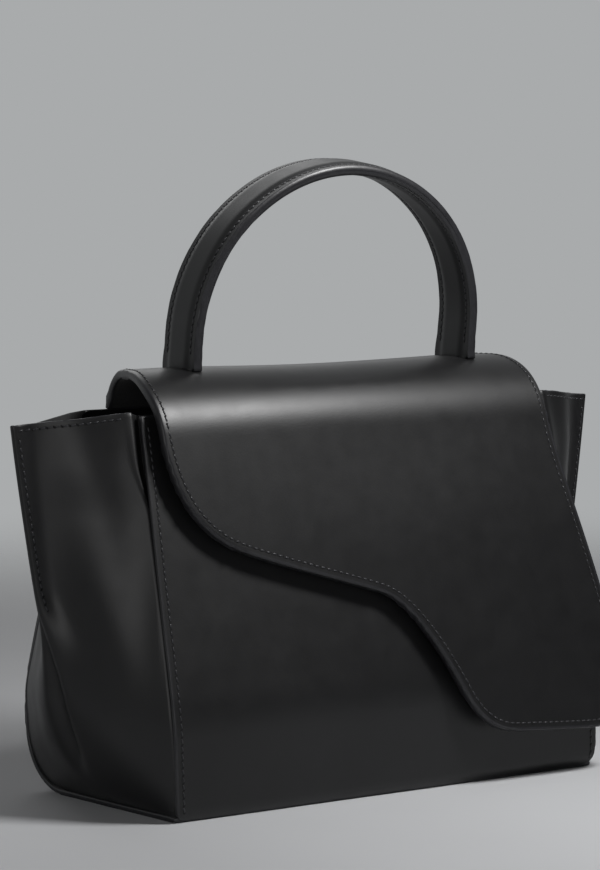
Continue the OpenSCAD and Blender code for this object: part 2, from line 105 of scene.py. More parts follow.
# The floor is matt pale paper. It thins out away from the bag, where the backdrop's grey shows
# through, so that no edge or corner of the room is seen from any side.
paper, tree, at = new_material("matt_pale_paper")
mottle = add(tree, "TexNoise", Vector=at, Scale=3.0, Detail=3.0)
shade = add(tree, "ValToRGB", Fac=mottle.outputs["Fac"])
shade.color_ramp.elements[0].color = colour("#bfc0c2")
shade.color_ramp.elements[1].color = colour("#cbccce")
sheet = add(tree, "BsdfPrincipled", Base_Color=shade.outputs["Color"], Roughness=0.9)
far = add(tree, "VectorMath", {"operation": "LENGTH"}, _0=at)
fade = add(tree, "MapRange", {"interpolation_type": "SMOOTHERSTEP"}, Value=far.outputs["Value"],
           From_Min=FADE_FROM * MM, From_Max=FADE_TO * MM)
through = add(tree, "BsdfTransparent")
thinned = add(tree, "MixShader", Fac=fade.outputs[0], _1=sheet.outputs[0], _2=through.outputs[0])
add(tree, "OutputMaterial", Surface=thinned.outputs[0])

bm = bmesh.new()
bmesh.ops.create_circle(bm, cap_ends=True, segments=96, radius=FLOOR_R * MM,
                        matrix=Matrix.Translation((0, 0, -FLOOR_SINK * MM)))
mesh = bpy.data.meshes.new("paper_floor")
bm.to_mesh(mesh)
bm.free()
mesh.materials.append(paper)
floor = bpy.data.objects.new("paper_floor", mesh)
bpy.context.scene.collection.objects.link(floor)

# The backdrop is a plain grey that the camera sees on every side. Gloss sees it behind the bag
# and the dim room in front of it.
world = bpy.data.worlds.new("studio")
world.use_nodes = True
tree = world.node_tree
tree.nodes.clear()
ray = add(tree, "LightPath").outputs
way = add(tree, "SeparateXYZ", Vector=add(tree, "TexCoord").outputs["Generated"])
behind = add(tree, "MapRange", Value=way.outputs["Y"], From_Min=0.0, From_Max=0.5)
gloss = add(tree, "Math", {"operation": "MAXIMUM"}, _0=ray["Is Glossy Ray"],
            _1=ray["Is Transmission Ray"])
gloss_behind = add(tree, "Math", {"operation": "MULTIPLY"}, _0=gloss.outputs[0],
                   _1=behind.outputs[0])
seen = add(tree, "Math", {"operation": "MAXIMUM"}, _0=ray["Is Camera Ray"],
           _1=gloss_behind.outputs[0])
room = add(tree, "Background", Color=colour("#e9eaec"), Strength=0.05)
backdrop = add(tree, "Background", Color=colour("#a9abac"), Strength=1.0)
mixed = add(tree, "MixShader", Fac=seen.outputs[0], _1=room.outputs[0], _2=backdrop.outputs[0])
add(tree, "OutputWorld", Surface=mixed.outputs[0])
bpy.context.scene.world = world

# Each softbox is a square lamp: its place, what it is aimed at, its side in metres, its watts.
for name, place, aim, side, watts in (
        ("key", (0.21, -0.34, 0.60), (0, -0.02, 0.12), 0.15, 3.8),
        ("left_fill", (-1.45, -1.00, 0.45), (0, 0, 0.1), 1.2, 6.4),
        ("back_fill", (0.5, 1.5, 1.3), (0, 0, 0.15), 1.2, 6)):
    lamp = bpy.data.lights.new(name, "AREA")
    lamp.shape = "SQUARE"
    lamp.size = side
    lamp.energy = watts
    box = bpy.data.objects.new(name, lamp)
    box.location = place
    box.rotation_euler = (Vector(aim) - Vector(place)).to_track_quat("-Z", "Y").to_euler()
    box.visible_camera = False
    bpy.context.scene.collection.objects.link(box)

# ---- Front panel. One flat cut of 2.4 mm calf over a board, with painted edges and a row of
# stitches that holds the gusset's flange behind each side.
BASE_HALF, BELLY_HALF, MOUTH_HALF = 130.5, 132.0, 125.0
BASE_D, MOUTH_D = 127.0, 54.0
BELLY_Z, BELLY_TURN, MOUTH_Z = 50.0, 20.0, 190.0
PANEL_T, PANEL_ROUND, PANEL_BACK_ROUND = 2.4, 0.9, 0.5
CORNER_LEFT, CORNER_RIGHT = 5, 9        # radii of the lower corners
SPREAD, SPREAD_Z = 1.8, 70              # how far the right side stands out, up to this height
TUCK, TUCK_Z = 2.6, 6                   # how far the lower edge turns in, up to this height
PANEL_SWELL = 0.9
HIDE_SWELL, HIDE_SMALL = 62, 21         # lengths of the hide's slow and small waves

# Calf, drum dyed black and finished with a thin pigmented coat, so it is satin: fine pores,
# faint clouding, and a gloss that wanders with the finish. Pores are about 0.3 mm apart on the
# hide and are drawn at 0.8 mm, so that they show.
black_calf, tree, at = new_material("black_calf")
cloud = add(tree, "TexNoise", Vector=at, Scale=every(40), Detail=4.0, Roughness=0.6)
tone = add(tree, "ValToRGB", Fac=cloud.outputs["Fac"])
tone.color_ramp.elements[0].position = 0.3
tone.color_ramp.elements[0].color = colour("#0f0f10")
tone.color_ramp.elements[1].position = 0.75
tone.color_ramp.elements[1].color = colour("#151516")
wander = add(tree, "TexNoise", Vector=at, Scale=every(11), Detail=3.0)
satin = add(tree, "MapRange", Value=wander.outputs["Fac"], From_Min=0.3, From_Max=0.7,
            To_Min=0.40, To_Max=0.44)
pore = add(tree, "TexVoronoi", Vector=at, Scale=every(0.8))
fibre = add(tree, "TexNoise", Vector=at, Scale=every(2.2), Detail=4.0)
grain = add(tree, "Math", {"operation": "MULTIPLY_ADD"}, _0=fibre.outputs["Fac"], _1=0.8,
            _2=pore.outputs["Distance"])
fine = add(tree, "Bump", Strength=0.05, Distance=0.3 * MM, Height=grain.outputs[0])
loose = add(tree, "TexNoise", Vector=at, Scale=every(16), Detail=2.0)
soft = add(tree, "Bump", Strength=0.05, Distance=0.5 * MM, Height=loose.outputs["Fac"],
           Normal=fine.outputs[0])
skin = add(tree, "BsdfPrincipled", Base_Color=tone.outputs["Color"], Roughness=satin.outputs[0],
           IOR=1.5, Normal=soft.outputs[0])
add(tree, "OutputMaterial", Surface=skin.outputs[0])

# Edge paint is an acrylic resin laid on the cut edge in several coats: a low, even gloss on
# slight lumps. Its black is set paler than the calf's as a painted highlight for the light that
# the edges catch, which draws a thin pale line along each edge.
edge_paint_and_highlight, tree, at = new_material("black_edge_paint_with_painted_highlight")
lumps = add(tree, "TexNoise", Vector=at, Scale=every(3), Detail=2.0)
uneven = add(tree, "Bump", Strength=0.3, Distance=0.3 * MM, Height=lumps.outputs["Fac"])
# The ramp's tones sit above the calf's: painted highlight on the cut edges.
tone = add(tree, "ValToRGB", Fac=lumps.outputs["Fac"])
tone.color_ramp.elements[0].color = colour("#1c1c1e")
tone.color_ramp.elements[1].color = colour("#2a2a2d")
resin = add(tree, "BsdfPrincipled", Base_Color=tone.outputs["Color"], Roughness=0.38, IOR=1.49,
            Normal=uneven.outputs[0])
add(tree, "OutputMaterial", Surface=resin.outputs[0])

# Suede is the flesh side of the hide, buffed to a short nap: no gloss, and a faint bloom of
# fibres where it turns away.
black_suede, tree, at = new_material("black_suede")
nap = add(tree, "TexNoise", Vector=at, Scale=every(1.2), Detail=5.0)
tone = add(tree, "ValToRGB", Fac=nap.outputs["Fac"])
tone.color_ramp.elements[0].position = 0.35
tone.color_ramp.elements[0].color = colour("#0f0f10")
tone.color_ramp.elements[1].position = 0.7
tone.color_ramp.elements[1].color = colour("#1b1b1d")
fuzz = add(tree, "Bump", Strength=0.5, Distance=0.3 * MM, Height=nap.outputs["Fac"])
buffed = add(tree, "BsdfPrincipled", Base_Color=tone.outputs["Color"], Roughness=0.85,
             Sheen_Weight=0.15, Sheen_Roughness=0.5, Normal=fuzz.outputs[0])
add(tree, "OutputMaterial", Surface=buffed.outputs[0])

CALF_CUT = [black_calf, edge_paint_and_highlight, black_suede]     # in front, on the cut edge and behind


def lean_run(z):
    """How far up the lean a height is: nothing at the foot, then a soft turn at the belly."""
    low = BELLY_Z - BELLY_TURN / 2
    if z < low:
        return 0.0
    return (z - low) ** 2 / (2 * BELLY_TURN) if z < low + BELLY_TURN else z - BELLY_Z


def front_at(z):
    """y of the front's outer face."""
    return -BASE_D / 2 + (BASE_D - MOUTH_D) / 2 / (MOUTH_Z - BELLY_Z) * lean_run(z)


def half_width(z):
    """Half the width of the walls."""
    if z < BELLY_Z:
        return BASE_HALF + (BELLY_HALF - BASE_HALF) * z / BELLY_Z
    return BELLY_HALF + (MOUTH_HALF - BELLY_HALF) * (z - BELLY_Z) / (MOUTH_Z - BELLY_Z)


def ripple(x, y, z, deep=0.35):
    """The slight unevenness of a hide that has been worked: a slow swell and a smaller one."""
    return deep * (noise.noise(Vector((x, y, z)) / HIDE_SWELL)
                   + 0.35 * noise.noise(Vector((x, z, y)) / HIDE_SMALL))


def finish_piece(name, bm, skins, body, slot, stands_for=()):
    """Makes the object, with its materials and its body, and hides the nodes it stands for. Its
    slot is not used.
    """
    mesh = bpy.data.meshes.new(name)
    bm.to_mesh(mesh)
    bm.free()
    for skin in skins:
        mesh.materials.append(skin)
    piece = bpy.data.objects.new(name, mesh)
    bpy.context.scene.collection.objects.link(piece)
    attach(piece, body)
    if stands_for:
        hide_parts(*stands_for)


def laid(columns, rows, place):
    """A grid laid on place(u, v), in mm, with u and v from 0 to 1."""
    bm = bmesh.new()
    bmesh.ops.create_grid(bm, x_segments=columns, y_segments=rows, size=0.5)
    for vert in bm.verts:
        vert.co = place(vert.co.x + 0.5, vert.co.y + 0.5)
    return bm


def thicken(bm, thick, front_round, back_round, steps=3):
    """Gives a laid sheet its thickness behind, and rounds its cut edge towards the front, the
    back or both. Faces take materials 0 in front, 1 on the edge and 2 behind."""
    bmesh.ops.scale(bm, vec=(MM, MM, MM), verts=bm.verts)
    bm.normal_update()
    inward = {vert: vert.normal * -thick * MM for vert in bm.verts}
    behind = list(bm.faces)
    ahead = {part for part in bmesh.ops.extrude_face_region(bm, geom=bm.faces[:])["geom"]
             if isinstance(part, bmesh.types.BMVert)}
    for vert, step in inward.items():
        vert.co += step
    for face in behind:
        face.material_index = 2
    rims = [face for face in bm.faces if 0 < sum(v in ahead for v in face.verts) < 4]
    edges = {True: [], False: []}
    for face in rims:
        face.material_index = 1
        for edge in face.edges:
            a, b = (v in ahead for v in edge.verts)
            if a == b:
                edges[a].append(edge)
    for face in bm.faces:
        face.smooth = True
    for front, size in ((True, front_round), (False, back_round)):
        if not size:
            for edge in edges[front]:
                edge.smooth = False
            continue
        made = bmesh.ops.bevel(bm, geom=edges[front], offset=size * MM, segments=steps,
                               profile=0.5, affect="EDGES", material=-1, clamp_overlap=True)
        for face in made["faces"]:
            face.material_index = 1
            face.smooth = True
    bm.normal_update()
    return bm


def front_place(u, v):
    """The panel's outer face: u from left to right, v from the base to the mouth."""
    z = MOUTH_Z * v ** 1.25
    size = CORNER_LEFT if u < 0.5 else CORNER_RIGHT
    corner = size - math.sqrt(size ** 2 - (size - z) ** 2) if z < size else 0
    spread = SPREAD * (1 - z / SPREAD_Z) if u > 0.5 and z < SPREAD_Z else 0
    x = (2 * u - 1) * (half_width(z) + spread - corner)
    tuck = TUCK * (1 - z / TUCK_Z) ** 2 if z < TUCK_Z else 0
    swell = PANEL_SWELL * math.sin(math.pi * u) * math.sin(math.pi * v)
    return x, front_at(z) + tuck - swell - ripple(x, 0, z), z


finish_piece("front_panel_leather",
             thicken(laid(64, 60, front_place), PANEL_T, PANEL_ROUND, PANEL_BACK_ROUND),
             CALF_CUT, "body", "panel_leather", ["front_panel"])

# ---- Back and base. One cut that runs under the bag, rolls up at the back on a 30 mm radius
# and narrows at the mouth to the neck. On the bag it folds over there to become the flap; here
# it stops at the mouth, and the flap is drawn as a piece of its own.
BACK_Y = BASE_D / 2 + 3                 # the back's belly stands 3 mm out from the base
ROLL_R = 30.0
ROLL_Y = BACK_Y - ROLL_R
FLOOR_RUN = ROLL_Y + BASE_D / 2 - PANEL_T
ROLL_RUN = FLOOR_RUN + ROLL_R * math.pi / 2
NECK_LEFT, NECK_RIGHT, NECK_RISE = 109.5, 115.5, 7
CALM_Z = 20                             # under this height the floor keeps the leather flat
BACK_OF_HIDE = 40                       # the back comes from another place on the hide


def back_at(z):
    """y of the back's outer face, above the roll."""
    return BACK_Y - (BACK_Y - MOUTH_D / 2) / (MOUTH_Z - BELLY_Z) * lean_run(z)


def wrap_at(s):
    """y and z at s mm from the front edge of the base, along the floor and up the back."""
    if s < FLOOR_RUN:
        return ROLL_Y - FLOOR_RUN + s, 0.0
    if s < ROLL_RUN:
        turn = (s - FLOOR_RUN) / ROLL_R
        return ROLL_Y + ROLL_R * math.sin(turn), ROLL_R - ROLL_R * math.cos(turn)
    z = ROLL_R + (s - ROLL_RUN)
    return back_at(z), z


def neck_width(z, side):
    """Half width of the back near the mouth, where a concave curve leads in to the neck."""
    low = MOUTH_Z - NECK_RISE
    if z <= low:
        return half_width(z)
    neck = NECK_LEFT if side < 0 else NECK_RIGHT
    t = min((z - low) / NECK_RISE, 1)
    return neck + (half_width(low) - neck) * (1 - math.sqrt(1 - (1 - t) ** 2))


def back_place(u, v):
    """The outer face: u from right to left, v from the base's front edge to the mouth."""
    y, z = wrap_at(v * (ROLL_RUN + MOUTH_Z - ROLL_R))
    side = 1 - 2 * u
    x = side * neck_width(z, side)
    rise = max(z - CALM_Z, 0) / (MOUTH_Z - CALM_Z)
    swell = PANEL_SWELL * math.sin(math.pi * u) * math.sin(math.pi * rise)
    return x, y + swell + ripple(x, BACK_OF_HIDE, z) * min(z / CALM_Z, 1), z


finish_piece("back_and_base_leather",
             thicken(laid(60, 110, back_place), PANEL_T, PANEL_ROUND, PANEL_BACK_ROUND),
             CALF_CUT, "body", "panel_leather", ["back_and_base_panel"])

# ---- Gussets. Each side is one softer cut of 1.6 mm, folded out into a wing that is stitched
# close to its crease at the top and opens into a round bend, with a dimple, near the floor.
GUSSET_T, GUSSET_ROUND, GUSSET_BACK_ROUND = 1.6, 0.6, 0.4
FLANGE, FLANGE_IN = 7, 1.5              # the flange behind a panel, and its start inside the edge
WING_OUT, WING_REACH = 57.5, 56         # the crease at the mouth, from the flange and the wall
LEFT_POWER, RIGHT_POWER = 0.62, 0.5     # how the crease curves out on the way up
FIN, PINCH = 7.5, 1.75                  # width of the stitched fin, and half its thickness
FIN_CUT, TIP_CUT = 4, 1.6               # how much of each straight the corners take
FOLD_FROM, FOLD_RUN = 52, 58            # the round bend turns into the fold over these heights
BEND_END = 95                           # the bend is fullest at the floor and sharp up here
SEAM_ROLL, SEAM_ROLL_UP, SEAM_ROLL_TOP = 0.3, 1.5, 5.4      # radii beside the seam, going up
RUNS, CORNER = (3, 16, 3, 2, 3, 16, 3), 5     # steps on the plan's straights and corners
SEAM_TUCK, FACET_SWELL, FACET_DIP = 2.0, 2.4, 0.4
DIMPLE, BEND_SHARE = 6.0, 0.86          # depth of the dimple, and the bend's share of the cut
MOUTH_DROP, FOLD_RISE, REAR_DIP, REAR_PINCH = 3.6, 2.2, 6.0, 9.0
SHAPED_Z, SHAPED_RUN = 140, 50          # where the mouth's shape starts, and its height
TURNED_IN = 18                          # how much of the smooth side is turned in at the mouth


def ease(t):
    """A smooth step from 0 to 1."""
    t = min(max(t, 0.0), 1.0)
    return t * t * (3 - 2 * t)


def bump_at(t, centre, width):
    """A smooth hill of height 1."""
    return math.exp(-((t - centre) / width) ** 2)


def rounded(points, cuts):
    """A chain of plan points with its inner corners turned over the given cut lengths. Also
    gives the index of each straight's first point."""
    chain = [Vector(p) for p in points]
    path, starts = [chain[0]], []
    for i in range(1, len(chain) - 1):
        before, here, after = chain[i - 1:i + 2]
        cut = min(cuts[i - 1], (here - before).length / 2, (after - here).length / 2)
        start = here + (before - here).normalized() * cut
        end = here + (after - here).normalized() * cut
        last = path[-1]
        starts.append(len(path) - 1)
        path += [last.lerp(start, (k + 1) / RUNS[i - 1]) for k in range(RUNS[i - 1])]
        for k in range(1, CORNER + 1):
            t = k / CORNER
            path.append(start * (1 - t) ** 2 + here * (2 * t * (1 - t)) + end * t ** 2)
    last = path[-1]
    starts.append(len(path) - 1)
    path += [last.lerp(chain[-1], (k + 1) / RUNS[-1]) for k in range(RUNS[-1])]
    return path, starts


def folded_plan(z, inner, front, back, roll, tip, folded):
    """The wing's plan where it is folded: two facets that meet in a pinched fin."""
    mid = (front + back) / 2
    spread = min((mid - front) * FIN / max(tip - inner - roll, 8), mid - front - 2)
    near = PINCH + (spread - PINCH) * (1 - 0.8 * folded)
    points = [(inner - FLANGE, front), (inner + roll, front), (tip - FIN, mid - near),
              (tip, mid - PINCH), (tip, mid + PINCH), (tip - FIN, mid + near),
              (inner + roll, back), (inner - FLANGE, back)]
    turn = 1.0 + 0.3 * roll
    plan, starts = rounded(points, [turn, FIN_CUT, TIP_CUT, TIP_CUT, FIN_CUT, turn])
    # The leather tucks in between the panel's edge and the roll beside it.
    for k, share in ((1, 0.3), (2, 1.0), (3, 0.6)):
        plan[k].y += SEAM_TUCK * share * ease(roll / 6)
        plan[-1 - k].y -= SEAM_TUCK * share * ease(roll / 6)
    # The facets swell a little in the middle and dip beside the panel's edge.
    low = ease((z - 55) / 40) * (1 - ease((z - 150) / 20))
    for first, forward in ((starts[1], True), (starts[5], False)):
        run = (plan[first + RUNS[1]] - plan[first]).normalized()
        normal = Vector((run.y, -run.x))
        for k in range(RUNS[1] + 1):
            q = k / RUNS[1] if forward else 1 - k / RUNS[1]
            swell = (FACET_SWELL * math.sin(math.pi * q) ** 2
                     - FACET_DIP * low * bump_at(q, 0.2, 0.16))
            plan[first + k] = plan[first + k] + normal * swell
    return plan


def bent_plan(z, inner, front, back, roll, tip, count):
    """The wing's plan where it is open: one round bend, with a dimple beside its middle."""
    opening = 1 + max(1 - z / BEND_END, 0) ** 1.5
    dimple = DIMPLE * ease((z - 12) / 25) * (1 - ease((z - 88) / 26))
    plan = []
    for i in range(count):
        u = 2 * i / (count - 1) - 1
        share = 1 - min(abs(u) / BEND_SHARE, 1) ** opening
        y = front + (back - front) * min(max(u / BEND_SHARE / 2 + 0.5, 0), 1)
        hold = ease((1 - abs(u)) / 0.13)
        x = inner - FLANGE + (FLANGE + roll) * hold + (tip - inner - roll) * share
        x += dimple * (0.3 * bump_at(u, 0.25, 0.2) - bump_at(u, 0.02, 0.075)
                       + 0.15 * bump_at(u, -0.45, 0.22))
        plan.append(Vector((x, y)))
    return plan


def gusset_plan(z, power):
    """The gusset's plan at one height, from behind the front panel to behind the back."""
    inner = half_width(z) - FLANGE_IN
    front = front_at(z) + PANEL_T
    if z >= ROLL_R:
        back = back_at(z) - PANEL_T
    else:
        back = ROLL_Y + math.sqrt(max((ROLL_R - PANEL_T) ** 2 - (ROLL_R - z) ** 2, 0))
    roll = SEAM_ROLL + SEAM_ROLL_UP * ease(z / 60) + SEAM_ROLL_TOP * ease((z - 143) / 26)
    out = WING_OUT * (max(z - PANEL_T, 0) / (MOUTH_Z - PANEL_T)) ** power
    tip = inner + max(out, roll + 0.5)
    folded = ease((z - FOLD_FROM) / FOLD_RUN)
    folds = folded_plan(z, inner, front, back, roll, tip, folded)
    bends = bent_plan(z, inner, front, back, roll, tip, len(folds))
    return [b.lerp(f, folded) for b, f in zip(bends, folds)]


def gusset_sheet(side, power):
    """place(u, v) for one gusset: its plans stacked from the base to the mouth."""
    plans = {}

    def place(u, v):
        z = PANEL_T + (MOUTH_Z - PANEL_T) * v
        if v not in plans:
            plans[v] = gusset_plan(z, power)
        plan = plans[v]
        where = (1 - u if side < 0 else u) * (len(plan) - 1)
        i = min(int(where), len(plan) - 2)
        x, y = plan[i].lerp(plan[i + 1], where - i)
        reach = max(x - half_width(z), 0) / WING_REACH
        drop = MOUTH_DROP * reach * z / MOUTH_Z
        # The front half of the mouth rises to its fold, and the back half dips and is pinched
        # against it, as far as the gap between them allows.
        top = ease((z - SHAPED_Z) / SHAPED_RUN)
        if where < len(plan) / 2:
            drop -= FOLD_RISE * top * ease(1 - reach) * ease(reach / 0.08)
        else:
            drop += REAR_DIP * top * math.sin(math.pi * min(reach, 1) ** 0.62)
            facing = plan[len(plan) - 1 - min(round(where), len(plan) - 1)]
            gap = max(y - facing.y - 2 * GUSSET_T - 1.0, 0)
            pinch = REAR_PINCH * math.sin(math.pi * min(max(reach - 0.1, 0) / 0.9, 1))
            y -= top * min(gap, pinch)
        return side * x, y, z - drop

    return place


for name, side, power, node in (("left_gusset_leather", -1, LEFT_POWER, "left_gusset"),
                                ("right_gusset_leather", 1, RIGHT_POWER, "right_gusset")):
    columns = len(gusset_plan(SHAPED_Z, power)) - 1
    bm = thicken(laid(columns, 84, gusset_sheet(side, power)), GUSSET_T, GUSSET_ROUND,
                 GUSSET_BACK_ROUND, 2)
    for face in bm.faces:
        turned = face.calc_center_median().z > (MOUTH_Z - TURNED_IN) * MM
        if face.material_index == 2 and turned:
            face.material_index = 0
    finish_piece(name, bm, CALF_CUT, "body", "gusset_leather", [node])

# ---- Flap. Two leathers glued and edge painted together, 4.5 mm thick: they leave the back
# edge, turn over the crown and hang in front, cut to a wave and a rounded lobe.
FLAP_T, SKIN_T = 4.5, 2.2
SKIN_ROUND, LINING_ROUND = 1.4, 1.1
HINGE_Y, HINGE_Z = 26.914, 190.3
BACK_TILT = math.atan((BACK_Y - MOUTH_D / 2) / (MOUTH_Z - BELLY_Z))
FLAP_LEAN = math.atan((BASE_D - MOUTH_D) / 2 / (MOUTH_Z - BELLY_Z)) - math.radians(0.8)
BACK_RISE, CROWN_FLAT, HANG = 7.59, 9.79, 400     # the straight stretches of the side view
CROWN_BACK_R, CROWN_FRONT_R = 17, 38
PROFILE = [(BACK_RISE, 0), (CROWN_BACK_R * (math.pi / 2 - BACK_TILT), CROWN_BACK_R),
           (CROWN_FLAT, 0), (CROWN_FRONT_R * (math.pi / 2 - FLAP_LEAN), CROWN_FRONT_R),
           (HANG, 0)]
HANG_S = sum(length for length, radius in PROFILE[:4])
FRONT_TURN_Z, FRONT_Z = 172, 181.07     # centre and lower end of the crown's front turn
HANDLE_X = 5.5
SADDLE, SADDLE_S, SADDLE_RUN, SADDLE_HALF = 1.5, 36, 30, 78
HEM_FREE, HEM_WAVE, HEM_WAVE_L, HEM_RUN = 0.7, 0.8, 52, 60    # how the hem hangs off the front
SKIN_RIPPLE, SKIN_RIPPLE_L, CLAMPED_S = 0.3, 80, 12
NECK_FROM, NECK_RUN, NECK_END = 12, 56, 84


def flap_side(s):
    """y, z and heading at s mm from the hinge line along the flap's outer face."""
    y, z, heading = HINGE_Y, HINGE_Z, math.pi / 2 + BACK_TILT
    for length, radius in PROFILE:
        step = min(s, length)
        if radius:
            turn = step / radius
            y += radius * (math.sin(heading + turn) - math.sin(heading))
            z -= radius * (math.cos(heading + turn) - math.cos(heading))
            heading += turn
        else:
            y += step * math.cos(heading)
            z += step * math.sin(heading)
        s -= step
        if s <= 0:
            break
    return y, z, heading


def flap_lift(point, depth=0.0):
    """A point of the flat flap, x and s, on its outer face or at a depth inside it. The hem
    hangs a little free, and the crown is drawn down between the handle's feet."""
    x, s = point[0], point[1]
    y, z, heading = flap_side(s)
    out = SKIN_RIPPLE * noise.noise(Vector((x, 70, s)) / SKIN_RIPPLE_L) * min(s / CLAMPED_S, 1)
    wave = HEM_FREE + HEM_WAVE * math.sin(x / HEM_WAVE_L + 0.5)
    out += ease((s - HANG_S) / HEM_RUN) * wave
    saddle = 1 - min(abs(x - HANDLE_X) / SADDLE_HALF, 1) ** 2
    out -= SADDLE * saddle * max(1 - abs(s - SADDLE_S) / SADDLE_RUN, 0) ** 0.5
    out -= depth
    return x, y + out * math.sin(heading), z - out * math.cos(heading)


def bezier(a, b, c, d, count=14):
    """Points along a cubic curve."""
    return [Vector(a) * (1 - t) ** 3 + Vector(b) * 3 * t * (1 - t) ** 2
            + Vector(c) * 3 * t * t * (1 - t) + Vector(d) * t ** 3
            for t in (i / count for i in range(count + 1))]


def flat(points):
    """Outline points x, z of the hanging front, as x, s on the flat leather."""
    made = []
    for x, z in points:
        if z > FRONT_Z:
            turn = math.asin((z - FRONT_TURN_Z) / CROWN_FRONT_R) - FLAP_LEAN
            made.append(Vector((x, HANG_S - CROWN_FRONT_R * turn)))
        else:
            made.append(Vector((x, HANG_S + (FRONT_Z - z) / math.cos(FLAP_LEAN))))
    return made


def neck(back, front):
    """The side edge over the crown, which widens from the back's neck to the front."""
    return [Vector((back + (front - back) * ease((s - NECK_FROM) / NECK_RUN), s))
            for s in range(0, NECK_END, 3)]


def measured(points):
    """The points with the length run up to each."""
    runs = [0.0]
    for a, b in zip(points, points[1:]):
        runs.append(runs[-1] + (b - a).length)
    return points, runs


def stretch(runs, want):
    """The stretch of a chain that a length falls in, and the share of it that is passed."""
    i = min(bisect.bisect_right(runs, want) - 1, len(runs) - 2)
    return i, (want - runs[i]) / max(runs[i + 1] - runs[i], 1e-9)


def along(chain, t):
    """The point at share t of a measured chain."""
    points, runs = chain
    i, share = stretch(runs, min(max(t, 0), 1) * runs[-1])
    return points[i].lerp(points[i + 1], share)


# The wave falls from the left side in one S, with a slower middle, to the hem; the right side
# leans out to a round corner.
WAVE = (neck(-NECK_LEFT, -120)
        + flat(bezier((-120, 185), (-119.5, 158), (-110, 134.5), (-84, 124.8)))
        + flat(bezier((-84, 124.8), (-59, 115.6), (-29, 108), (-4, 99.9)))[1:]
        + flat(bezier((-4, 99.9), (12, 94.7), (28, 70), (38.2, 48)))[1:]
        + flat(bezier((38.2, 48), (44.8, 34), (54.6, 27), (68.6, 26.2)))[1:])
HEM = flat([(80, 25.4), (100, 24.0), (116, 23.1)])
CORNER_X, CORNER_Z, CORNER_R = 122, 44, 21
TURN = flat([(CORNER_X + CORNER_R * math.cos(math.radians(a)),
              CORNER_Z + CORNER_R * math.sin(math.radians(a))) for a in range(270, 361, 6)])
RIGHT = neck(NECK_RIGHT, 121) + flat(bezier((121, 185), (121.5, 150), (142.5, 96), (143, 44)))
LOBE = len(WAVE) - 8                    # where the wave ends and the hem starts
CORNER_MID = flat([(136.85, 29.15)])[0]
FLAP_BAND = 2.6


def outline_sides(inwards):
    """The flap's left side, hem and right side on the flat leather, held in from the cut edge.
    The left side goes down the wave to the lobe, and the right side round half the corner."""
    loop = WAVE + HEM + TURN + RIGHT[::-1][1:]
    loop = [p for i, p in enumerate(loop) if i == 0 or (p - loop[i - 1]).length > 1e-4]
    low = min(range(len(loop)), key=lambda i: (loop[i] - CORNER_MID).length)
    inner = []
    for i, here in enumerate(loop):
        run = (loop[min(i + 1, len(loop) - 1)] - loop[max(i - 1, 0)]).normalized()
        inner.append(here + Vector((run.y, -run.x)) * inwards)
    return inner[:LOBE + 1], inner[LOBE:low + 1], inner[low:][::-1]


def flap_sides(inwards):
    """The flap's top, left, right and hem as measured chains."""
    left, hem, right = outline_sides(inwards)
    left = [p for p in left if p.y > inwards]
    right = [p for p in right if p.y > inwards]
    top = [Vector((right[0].x, inwards)), Vector((left[0].x, inwards))]
    return measured(top), measured(left), measured(right), measured(hem[::-1])


SIDE_TOP, SIDE_LEFT, SIDE_RIGHT, SIDE_HEM = flap_sides(FLAP_BAND)


def flap_flat(u, v):
    """A patch stretched between the four sides: u from right to left, v from hinge to hem."""
    a, b = along(SIDE_TOP, u), along(SIDE_HEM, u)
    c, d = along(SIDE_RIGHT, v), along(SIDE_LEFT, v)
    corners = (along(SIDE_TOP, 0) * (1 - u) * (1 - v) + along(SIDE_TOP, 1) * u * (1 - v)
               + along(SIDE_HEM, 0) * (1 - u) * v + along(SIDE_HEM, 1) * u * v)
    spot = a * (1 - v) + b * v + c * (1 - u) + d * u - corners
    return spot.x, spot.y, 0


def widen(bm, band):
    """Adds an even band of faces round a flat sheet, so that its edge can be rounded."""
    bm.normal_update()
    up = sum(face.normal.z for face in bm.faces)
    rim = [edge for edge in bm.edges if edge.is_boundary]
    away = {}
    for edge in rim:
        face = edge.link_faces[0]
        out = (edge.verts[1].co - edge.verts[0].co).cross(face.normal).normalized()
        if out.dot(edge.verts[0].co - face.calc_center_median()) < 0:
            out.negate()
        for vert in edge.verts:
            away.setdefault(vert, []).append(out)
    made = bmesh.ops.extrude_edge_only(bm, edges=rim)["geom"]
    for vert in [part for part in made if isinstance(part, bmesh.types.BMVert)]:
        root = next(edge.other_vert(vert) for edge in vert.link_edges
                    if edge.other_vert(vert) in away)
        a, b = away[root]
        vert.co += band * (a + b) / (1 + a.dot(b))
    bm.normal_update()
    for face in bm.faces:
        if face.normal.z * up < 0:
            face.normal_flip()


for name, node, slot, thick, depth, rounds in (
        ("flap_outer_leather", "flap_outer", "flap_leather", SKIN_T, 0, (SKIN_ROUND, 0)),
        ("flap_lining_leather", "flap_lining", "flap_lining_leather", FLAP_T - SKIN_T, SKIN_T,
         (0, LINING_ROUND))):
    bm = laid(70, 110, flap_flat)
    widen(bm, FLAP_BAND)
    for vert in bm.verts:
        vert.co = flap_lift(vert.co, depth)
    finish_piece(name, thicken(bm, thick, *rounds), CALF_CUT, "flap", slot, [node])

# ---- Stitches. Bonded polyester thread, saddle stitched at 3.6 mm: each stitch leans a little
# and pulls down in to its two needle holes.
PITCH, STITCH_L, THREAD_R, THREAD_FLAT = 3.6, 2.5, 0.42, 1.15
STITCH_LEAN, THREAD_UP, HOLE_R, HOLE_UP, HOLE_AT = 0.14, 0.04, 0.6, 0.05, 0.62
FLAP_SEAM, SEAM_TOP = 3.6, 6            # rows from the flap's edge, and from the hinge line
PANEL_SEAM, MOUTH_SEAM = 0.013, 2.8     # share of a panel's width, and mm from the mouth

